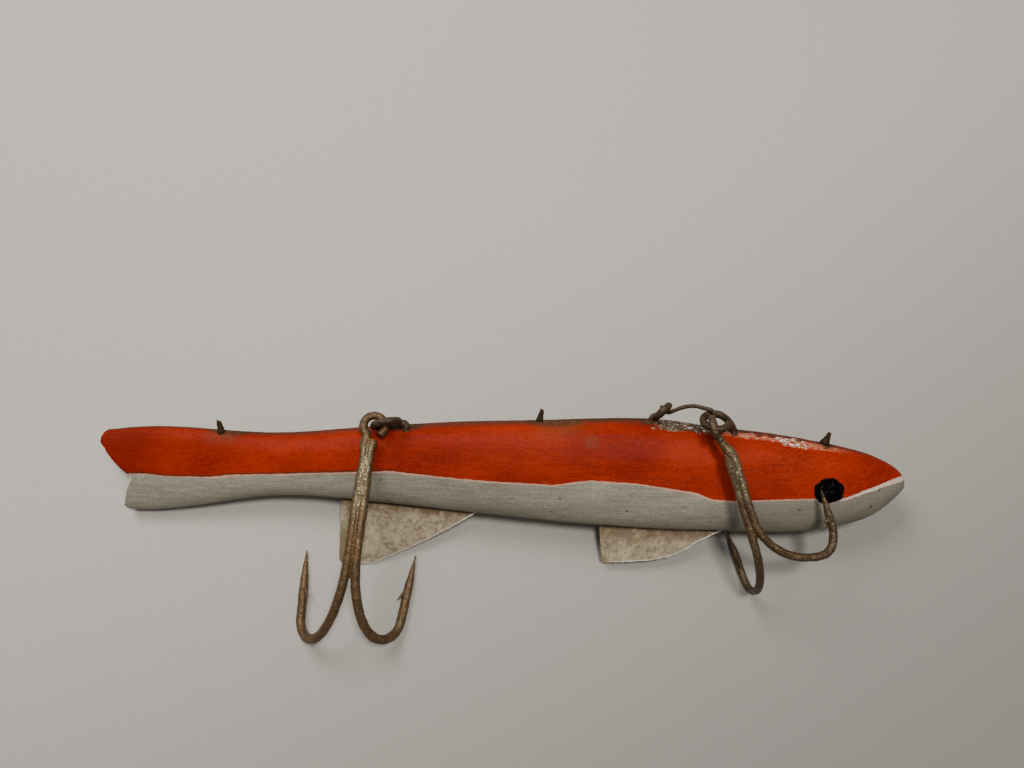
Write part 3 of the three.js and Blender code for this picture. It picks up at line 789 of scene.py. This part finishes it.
# The sheet is cut out, laid over a grid of cuts so that it can bow, and given its gauge.
def makeFin(name, fin, node, material):
    outline = finOutline(fin)
    root = finRoot(fin)
    bm = bmesh.new()
    bm.faces.new([bm.verts.new((px, py, 0)) for px, py in outline])
    for axis in (0, 1):
        places = [point[axis] for point in outline]
        place = min(places) + fins["grid"]
        while place < max(places):
            sawThrough(bm, (place, place, 0), (1 - axis, axis, 0))
            place += fins["grid"]
    bmesh.ops.remove_doubles(bm, verts=bm.verts, dist=0.02)
    bmesh.ops.recalc_face_normals(bm, faces=bm.faces)
    for v in bm.verts:  # snipped by hand
        if v.is_boundary and v.co.y < root(v.co.x) - 0.5:
            v.co.y += noise.noise(Vector((v.co.x * 0.9, v.co.y * 0.9, fin["seed"]))) * fins["snips"]
    sheet = bmesh.ops.extrude_face_region(bm, geom=bm.faces[:])
    bmesh.ops.translate(bm, vec=(0, 0, fins["sheet"]), verts=vertsIn(sheet["geom"]))
    bmesh.ops.translate(bm, vec=(0, 0, -fins["sheet"] / 2), verts=bm.verts)
    for v in bm.verts:
        down = max(0, root(v.co.x) - v.co.y) / fin["drop"]
        v.co.z += fin["bow"] * down * noise.noise(Vector((v.co.x * 0.12, v.co.y * 0.12, fin["seed"]))) * 2
    bmesh.ops.recalc_face_normals(bm, faces=bm.faces)
    corners = [e for e in bm.edges if e.is_manifold and e.calc_face_angle() > 1.2]
    bmesh.ops.bevel(
        bm, geom=corners, offset=fins["softened"], offset_type="OFFSET", segments=2, affect="EDGES",
        profile=0.5, material=-1)
    # how far each vertex is from the snipped edge, for the material; the tab's ends are left out
    fromEdge = bm.verts.layers.float.new("fromEdge")
    corners = [Vector(point) for point in outline[2:-1]]
    for v in bm.verts:
        flat = v.co.to_2d()
        v[fromEdge] = min((flat - nearestOn(flat, a, b)).length for a, b in zip(corners, corners[1:]))
    addPiece(name, bm, layMatrix, node, material, smooth=False)


def finSheet(name, fin):
    material, where = startMaterial(name, layMatrix)
    x, y = where.parts()[:2]
    blotch, cloudy, fine, scratch = where.patterns(fins["patterns"])
    root = finRoot(fin)
    below = x * (root(1) - root(0)) + root(0) - y
    tone = (blotch.swing(2) + cloudy.swing(1.6) + 0.55).rise(0, 1)
    base = tone.mixed(fins["dull"], fins["clean"])
    grey = (cloudy.swing(3) - blotch.swing(1) + 0.45).rise(0, 1)
    base = (grey * 0.35).mixed(base, fins["grey"])
    stain = (below + blotch.swing(6) + cloudy.swing(3)).fall(0.2, 3.2 + fin["dirt"] * 20) * 0.85
    base = (stain * cloudy.rise(0.30, 0.52)).mixed(base, fins["stain"])
    corner = (x - fin["x"] + blotch.swing(6)).fall(0.5, 3.5) * below.rise(4, 9)
    base = (corner * 0.7).mixed(base, fins["olive"])
    spots = where.specks(0.8, 0.20) * blotch.rise(0.55 - fin["dirt"], 0.62 - fin["dirt"])
    base = (spots * 0.8).mixed(base, fins["spots"])
    # a dark line along the root: rust, with painted shade where the fin goes into the belly
    rootLine = (below + cloudy.swing(0.9)).fall(0.1, 0.75)
    base = (rootLine * 0.9).mixed(base, fins["rootLine"])
    fromEdge = x.node("ShaderNodeAttribute", {"attribute_name": "fromEdge"}, output="Fac")
    # the bright cut edge: bare metal with a painted highlight along it
    cutEdgeAndHighlight = (fromEdge + cloudy.swing(0.35)).fall(0.16, 0.34) * x.rise(fin["x"] + 1, fin["x"] + 6)
    base = (cutEdgeAndHighlight * 0.85).mixed(base, fins["cutEdgeAndHighlight"])
    rusty = (stain + spots + rootLine).least(1)
    roughness = 0.46 + cloudy.swing(0.35) + rusty * 0.28 - cutEdgeAndHighlight * 0.12
    metallic = 0.55 * (1 - rusty) + 0.1
    height = cloudy.swing(0.03) + fine.swing(0.012) + scratch.swing(0.012) + rusty * 0.02
    return finishMaterial(material, base, roughness, metallic, height)


# Rust over iron: dark scale, brown, a little orange, and metal rubbed clear
rust = {
    "scale": colour(0.026, 0.013, 0.006),
    "brown": colour(0.080, 0.041, 0.0155),
    "orange": colour(0.128, 0.055, 0.0165),
    "worn": colour(0.34, 0.25, 0.125),
    "solder": colour(0.125, 0.093, 0.044),
    # pale tone for painted glints on the solder
    "bright": colour(0.75, 0.68, 0.50),
    "patterns": {  # stretch, scale, detail, roughness, distortion
        "patches": (1, 1, 0.45, 5, 0.65, 0.5),
        "spots": (1, 1, 1.9, 5, 0.7),
        "grit": (1, 1, 7, 3, 0.6),
    },
}


# rubbed is how much metal shows, dark how much scale, and solderTo is where the shank's solder ends. For the
# two hooks dark also carries painted shade and light, for how the lamp falls on each.
def rustyIron(name, place, rubbed, dark, shine=0.3, solderTo=None):
    material, where = startMaterial(name, place)
    patches, spots, grit = where.patterns(rust["patterns"])
    base = (patches * 0.9 + spots * 0.9 - 0.50 - dark).rise(0.1, 0.75).mixed(rust["scale"], rust["brown"])
    base = ((spots.swing(1.2) + patches.swing(2.2) - dark).rise(0, 0.7) * 0.8).mixed(base, rust["orange"])
    clear = (grit * 0.8 + (1 - spots) * 0.8 - 0.64).rise(0.12, 0.34) * rubbed
    base = clear.mixed(base, rust["worn"])
    roughness = 0.44 + grit.swing(0.5) - clear * 0.15
    metallic = 0.35 * (1 - dark) + clear * 0.45
    height = spots.swing(0.09) + grit.swing(0.05)
    if solderTo:
        along, up = where.parts()[::2]
        onShank = along.rise(3.5, 5.5) * (along + patches.swing(9)).fall(solderTo - 2.5, solderTo + 1.5)
        solder = onShank * (0.25 + (spots * 0.6 + patches * 0.6).rise(0.42, 0.72) * 0.7)
        base = solder.mixed(base, rust["solder"])
        pocks = (spots * 0.7 + grit * 0.4).fall(0.42, 0.50) * solder
        base = (pocks * 0.85).mixed(base, rust["scale"])
        # painted glints: pale specks of light on the solder's upper side
        solderGlints = (spots * 0.5 + grit * 0.6).rise(0.615, 0.66) * solder * up.rise(0.1, 0.9)
        base = solderGlints.mixed(base, rust["bright"])
        roughness = roughness - solder * 0.12
        metallic = metallic + solder * 0.15 + solderGlints * 0.3
    return finishMaterial(material, base, roughness, metallic, height, shine)


# Nails: cut off above the back, worn to a blunt end
nails = {
    "radius": 0.72,
    "stub": 2.9,
    "buried": 6,
    "side": 2,
    "rings": 12,
    "nipped": 0.25,  # taken off at a slant
    "slant": (0.45, 0.25, 1),
    "skin": [(1.6, 0.09)],  # scale and depth of the rust's lumps
    "finish": {"rubbed": 0.05, "dark": 0.9, "shine": 0.03},
    "places": {  # x, lean in degrees, radius at the wood (thick with rust), at the tip
        "tail": (-69, -14, 0.92, 0.48), "back": (6.7, 14, 0.95, 0.42), "head": (73, 26, 1.2, 0.34),
    },
}


def makeNail(name, x, lean, foot, tip, node, material, seed):
    bm = bmesh.new()
    ring = bmesh.ops.create_circle(bm, segments=20, radius=nails["radius"])["verts"]
    bmesh.ops.contextual_create(bm, geom=ring)
    edges = bm.edges[:]
    length = nails["buried"] + nails["stub"]
    for i in range(1, nails["rings"] + 1):
        ring, edges = nextRing(bm, edges)
        bmesh.ops.translate(bm, vec=(0, 0, length / nails["rings"]), verts=ring)
        out = i / nails["rings"] * length - nails["buried"]
        target = nails["radius"]
        if out >= -0.6:  # from just under the wood
            target = foot + (tip - foot) * max(0, out / nails["stub"]) ** 0.7
        now = max(math.hypot(v.co.x, v.co.y) for v in ring)
        bmesh.ops.scale(bm, vec=(target / now, target / now, 1), verts=ring)
    bmesh.ops.contextual_create(bm, geom=edges)
    sawThrough(bm, (0, 0, length - nails["nipped"]), nails["slant"], front=True)
    longEdges = [e for e in bm.edges if e.calc_length() > 0.4]
    bmesh.ops.subdivide_edges(bm, edges=longEdges, cuts=2, use_grid_fill=True)
    carve(bm, roughSkin(nails["skin"], seed))
    # the nail's own z to the fish's y
    stand = turned(-90, "X") @ Matrix.Translation((0, 0, -nails["buried"]))
    place = Matrix.Translation(onBack(x, nails["side"])) @ turned(-lean, "Z") @ stand
    addPiece(name, bm, layMatrix @ place, node, material)


# Screw eyes: a stem out of the back, bent over towards the middle of a ring that faces its own way
eyes = {
    "wire": 1.78,
    "buried": 7,
    "start": -150,  # degrees round the ring where the stem runs into it
    "opening": 34,  # degrees of the ring left open beside the stem
    "grain": 0.14,
    "skin": [(0.8, 0.08), (3, 0.04)],
    "finish": {"rubbed": 0.25, "dark": 0.22},
    "rear": {
        "x": -24.5, "side": 4.2, "stand": 1, "reach": 5.2, "ring": 2.9,
        "toward": (-0.75, 0.09, 0.66), "facing": (-0.19, 0.95, -0.24),
    },
    "line": {
        "x": 33, "side": 2.5, "stand": 0.4, "reach": 3.1, "ring": 1.9,
        "toward": (0.7, 0.56, 0.45), "facing": (0.66, -0.7, 0.2),
    },
    "front": {
        "x": 51.4, "side": 4.4, "stand": 0.6, "reach": 7.4, "ring": 2.8,
        "toward": (-0.72, 0.33, 0.65), "facing": (0, 0.83, 0.56),
    },
}


# The places an eye's wire runs through, its ring's middle, and a function for any place round the ring
def eyeRing(eye):
    foot = onBack(eye["x"], eye["side"])
    knee = foot + Vector((0, eye["stand"], 0))
    toward = Vector(eye["toward"]).normalized()
    centre = knee + toward * eye["reach"]
    axis = Vector(eye["facing"]).normalized()
    along = squareTo(axis, toward)
    across = axis.cross(along)

    def at(degrees):
        angle = math.radians(degrees)
        return centre + (along * math.cos(angle) + across * math.sin(angle)) * eye["ring"]
    return foot, knee, centre, at


def makeEye(name, eye, node, material, seed):
    foot, knee, centre, at = eyeRing(eye)
    bottom = foot - Vector((0, eyes["buried"], 0))
    points = [bottom, bottom.lerp(foot, 0.5), foot, knee]
    points += [at(eyes["start"] + i / 16 * (360 - 2 * eyes["opening"])) for i in range(17)]
    bm = remeshed(wireMesh(points, eyes["wire"] / 2, sides=5, steps=10), eyes["grain"])
    carve(bm, roughSkin(eyes["skin"], seed, eaten=0.03))
    addPiece(name, bm, layMatrix, node, material)


# The line wire: one thin wire, bent round the line eye at one end and the front eye at the other
lineWire = {
    "wire": 1,
    "rise": 1.35,  # how far it bows away from the back
    "slip": 0.15,  # gap to the eyes' wire
    "skin": [(1.1, 0.05)],
    "finish": {"rubbed": 0.25, "dark": 0.25},
    # degrees round the eye, degrees that it is bent, and the side the bend starts on
    "near": {"eye": "line", "at": 0, "bent": 125, "from": (0.6, -0.8, 0)},
    "far": {"eye": "front", "at": -108, "bent": 185, "from": (-0.5, 0.2, 1)},
}


def bentRound(end):
    centre, at = eyeRing(eyes[end["eye"]])[2:]
    middle = at(end["at"])
    tangent = (at(end["at"] + 1) - at(end["at"] - 1)).normalized()
    side = squareTo(tangent, Vector(end["from"]))
    inward = squareTo(side, squareTo(tangent, centre - middle))
    radius = (eyes["wire"] + lineWire["wire"]) / 2 + lineWire["slip"]
    turns = [math.radians(end["bent"] * i / 6) for i in range(7)]
    return [middle + (side * math.cos(t) + inward * math.sin(t)) * radius for t in turns]


def makeLineWire(material, seed):
    near = bentRound(lineWire["near"])
    far = bentRound(lineWire["far"])
    bow = Vector((0, lineWire["rise"], 0))
    span = [near[0].lerp(far[0], share) + bow * math.sin(math.pi * share) for share in (0.25, 0.5, 0.75)]
    bm = wireMesh(near[::-1] + span + far, lineWire["wire"] / 2, sides=5, steps=8)
    carve(bm, roughSkin(lineWire["skin"], seed, eaten=0.02))
    addPiece("line_wire", bm, layMatrix, "line_tie", material)


# Double hooks, each in its own frame: the ring at the origin, the shank along x, the arms to both sides
hooks = {
    "tip": 0.14,  # share of the wire's radius left at the tip
    "scale": 0.10,  # rust standing on the wire
    "taper": [(0.25, 0.9), (0.5, 0.66), (0.75, 0.38)],  # shares of the point's length and of the radius
    "barb": 3.4,
    "barbLift": 1.8,
    "barbWire": 0.6,
    "solder": 18,
    "solderSize": (1.9, 1.08),  # half its width and height, against the wire's radius
    "solderLumps": [(0.45, 0.30)],
    "core": (1.4, 1.8, 2.4, 3.2, 5),  # filler between the wires below the ring, in ring radii
    "braze": 0.12,  # how far the two arms are sunk into each other
    "grain": 0.15,
    "skin": [(0.55, 0.09), (2.2, 0.06)],
    "rubbed": 0.5,
    "rear": {
        "wire": 2, "ring": 2.4, "ringBend": -0.65, "ringBendEnd": 3.4, "ringTurn": 0,
        "straight": 27.4, "reach": 47.32, "gap": 16.6, "belly": 0.69, "heel": 4.7, "tipAt": 27.9, "lean": 2.1,
        "splay": 39.3, "leftLonger": 1.6, "leftWider": 1.2, "leftLean": 0, "pinch": 0.2,
        # the rear hook's dark is painted light: its rust is lightened a little
        "solderShare": 1, "point": 9, "dark": -0.05,
        "eye": "rear", "place": -42, "heading": -5.6, "rise": -4.25, "twist": -2.3,
    },
    "front": {
        "wire": 1.7, "ring": 2.4, "ringBend": 1.8, "ringBendEnd": 7.2, "ringTurn": 68,
        "straight": 20.4, "reach": 33, "gap": 17.7, "belly": 0.78, "heel": 6, "tipAt": 19.2, "lean": 0,
        "splay": 40.3, "leftLonger": 6, "leftWider": -0.6, "leftLean": 1.2, "pinch": 0.04,
        # the front hook's dark is painted shade: its rust is darkened where the lamp lights it
        "solderShare": 0.78, "point": 7, "dark": 0.16,
        "eye": "front", "place": 48, "heading": 16.4, "rise": -11.1, "twist": 42,
    },
}


def hookPlace(hook):
    at = eyeRing(eyes[hook["eye"]])[3]
    turn = turned(hook["heading"] - 90, "Z") @ turned(-hook["rise"], "Y") @ turned(hook["twist"], "X")
    return Matrix.Translation(layMatrix @ at(hook["place"])) @ turn


# How far the shank has moved over from the middle of the ring, along its length.
def shankShift(hook, along):
    return hook["ringBend"] * ease(along, hook["ring"] * 0.3, hook["ringBendEnd"])


# How far the two wires are still turned about the shank, as the ring is.
def shankTurn(hook, along):
    return math.radians(hook["ringTurn"]) * (1 - ease(along, hook["ring"], hook["ring"] * 4))


def solderEnd(hook):
    return hook["ring"] + hooks["solder"] * hook["solderShare"]


def hookRingPoint(hook, degrees):
    angle = math.radians(degrees)
    turn = shankTurn(hook, 0)
    out = hook["ring"] * math.sin(angle)
    return Vector((hook["ring"] * math.cos(angle), out * math.cos(turn), out * math.sin(turn)))


# Points down one arm to the tip, with the wire's share of its thickness at each. The left arm's wire
# comes out of the ring, the right one is brazed to it.
def armPath(hook, side):
    left = side < 0
    longer = hook["leftLonger"] if left else 0
    gap = hook["gap"] + (hook["leftWider"] if left else 0)
    lean = hook["lean"] + (hook["leftLean"] if left else 0)
    splay = math.radians(hook["splay"])
    straight = hook["straight"] + longer
    reach = hook["reach"] + longer
    belly = gap * hook["belly"]
    beside = hook["wire"] / 2 - hooks["braze"]

    def place(along, out):
        turn = shankTurn(hook, along)
        return Vector((
            along,
            shankShift(hook, along) + side * (beside * math.cos(turn) + out * math.sin(splay)),
            side * beside * math.sin(turn) - out * math.cos(splay),
        ))
    points = [hookRingPoint(hook, -90), hookRingPoint(hook, -72)] if left else []
    points += [place(hook["ring"] * share, 0) for share in (1 if left else 1.3, 1.6, 2.4, 3.2)]
    points += [place(straight * 0.6, 0), place(straight, 0)]
    turns = [i / 6 * math.pi / 2 for i in range(1, 7)]
    points += [place(straight + (reach - straight) * math.sin(t), belly * (1 - math.cos(t))) for t in turns]
    heel = hook["heel"]
    points += [place(reach - heel * (1 - math.cos(t)), belly + (gap - belly) * math.sin(t)) for t in turns]
    tip = place(hook["tipAt"] + longer, gap + lean)
    leg = (tip - points[-1]).normalized()
    pointStart = tip - leg * hook["point"]
    points.append(pointStart)
    radii = [1] * len(points)
    for share, radius in hooks["taper"] + [(1, hooks["tip"])]:
        points.append(pointStart.lerp(tip, share))
        radii.append(radius)
    inward = (place(0, -1) - place(0, 0)).normalized()
    return points, radii, pointStart, leg, inward


def makeHook(name, hook, node, material, seed):
    radius = hook["wire"] / 2 + hooks["scale"]
    whole = bmesh.new()
    for side in (1, -1):
        points, radii, pointStart, leg, inward = armPath(hook, side)
        joinInto(whole, wireMesh(points, radius, radii=radii, sides=6, steps=8))
        root = pointStart + leg * hooks["barb"] * 0.3
        tip = pointStart - leg * hooks["barb"] * 0.55 + inward * (hooks["barbLift"] + radius * 0.9)
        barb = [root, root.lerp(tip, 0.5), tip]
        joinInto(whole, wireMesh(barb, radius * hooks["barbWire"], radii=[1, 0.7, 0.22]))
    ringPoints = [hookRingPoint(hook, -60 - 20 * i) for i in range(14)]
    joinInto(whole, wireMesh(ringPoints, hook["wire"] / 2, sides=6))

    low = hook["ring"] * 1.5
    high = solderEnd(hook)
    wide, tall = hooks["solderSize"]
    drop = bmesh.new()
    bmesh.ops.create_icosphere(drop, subdivisions=4, radius=1)
    bmesh.ops.scale(drop, vec=((high - low) / 2, radius * wide, radius * tall), verts=drop.verts)
    bmesh.ops.translate(drop, vec=((low + high) / 2, shankShift(hook, (low + high) / 2), 0), verts=drop.verts)
    carve(drop, roughSkin(hooks["solderLumps"], seed))
    joinInto(whole, drop)
    core = [hook["ring"] * share for share in hooks["core"]]
    joinInto(whole, wireMesh([(a, shankShift(hook, a), 0) for a in core], radius * 0.7, steps=4))

    bm = remeshed(whole, hooks["grain"])
    smoothen(bm, 0.4)
    carve(bm, roughSkin(hooks["skin"], seed, eaten=0.03))
    for v in bm.verts:  # the brazed shank is narrower below the ring
        middle = shankShift(hook, v.co.x)
        pinch = hook["pinch"] * ease(v.co.x, low, low + 2.5) * (1 - ease(v.co.x, high * 0.5, high * 0.95))
        v.co.y = middle + (v.co.y - middle) * (1 - pinch)
    place = hookPlace(hook)
    keepAboveTable(bm, place)
    addPiece(name, bm, place, node, material)


# Table and light
table = {
    "halfSize": 1.5,  # metres
    "cloth": colour(0.37, 0.355, 0.315),
    "clothLight": colour(0.46, 0.443, 0.398),
    "clothPaintedShade": colour(0.205, 0.195, 0.177),  # painted shade: the cloth is darker towards the lower right, away from the window
}
lights = {  # metres and watts
    "lamp": {"place": (0.14, 0.05, 0.80), "size": 0.15, "power": 5.2, "tint": (1, 0.97, 0.93)},
    "window": {"place": (-0.18, 0.26, 0.38), "size": 0.24, "power": 2.0, "tint": (1, 0.98, 0.95)},
}
room = {"tint": colour(1, 0.98, 0.95), "strength": 0.21}


def addTable():
    bm = bmesh.new()
    bmesh.ops.create_grid(bm, x_segments=2, y_segments=2, size=table["halfSize"])
    obj = addObject("table", meshFrom(bm, "table"))
    material, where = startMaterial("table_cloth", Matrix.Identity(4))
    x, y = where.parts()[:2]
    weave = where.noise(0.9, 3, 0.6)
    base = weave.mixed(table["cloth"], table["clothLight"])
    # painted shade on the cloth, darker towards the lower right
    shade = ((x * 0.5 - y * 0.9) / 140 + 0.35).rise(-0.2, 1.2)
    base = shade.mixed(base, table["clothPaintedShade"])
    obj.data.materials.append(finishMaterial(material, base, 0.9, 0, weave.swing(0.1)))


def addLights():
    for name, light in lights.items():
        data = bpy.data.lights.new(name, "AREA")
        data.size = light["size"]
        data.energy = light["power"]
        data.color = light["tint"]
        spot = Vector(light["place"])
        aim = (-spot).to_track_quat("-Z", "Y").to_matrix().to_4x4()
        addObject(name, data).matrix_world = Matrix.Translation(spot) @ aim
    world = bpy.data.worlds.new("room")
    world.use_nodes = True
    background = world.node_tree.nodes["Background"]
    background.inputs["Color"].default_value = room["tint"]
    background.inputs["Strength"].default_value = room["strength"]
    scene.world = world


addCamera()
addTable()
addLights()
print("camera, table and lights are set")

makeBody(paintedWood())
for which in ("rear", "front"):
    makeFin("belly_fin_" + which, fins[which], which + "_fin", finSheet(which + "_sheet", fins[which]))
print("fish and fins are made")

for seed, (which, (x, lean, foot, tip)) in enumerate(nails["places"].items()):
    iron = rustyIron(which + "_iron", layMatrix, **nails["finish"])
    makeNail(which + "_stub", x, lean, foot, tip, which + "_nail", iron, seed)
for seed, which in enumerate(("rear", "line", "front")):
    iron = rustyIron(which + "_wire", layMatrix, **eyes["finish"])
    makeEye(which + "_eye", eyes[which], which + "_screw_eye", iron, seed)
makeLineWire(rustyIron("tie_wire", layMatrix, **lineWire["finish"]), seed=4)
print("nails, eyes and line wire are made")

for seed, which in ((5, "rear"), (6, "front")):
    hook = hooks[which]
    iron = rustyIron(
        which + "_hook_iron", hookPlace(hook), hooks["rubbed"], hook["dark"], solderTo=solderEnd(hook))
    makeHook(which + "_double_hook", hook, which + "_hook", iron, seed)
print("hooks are made")
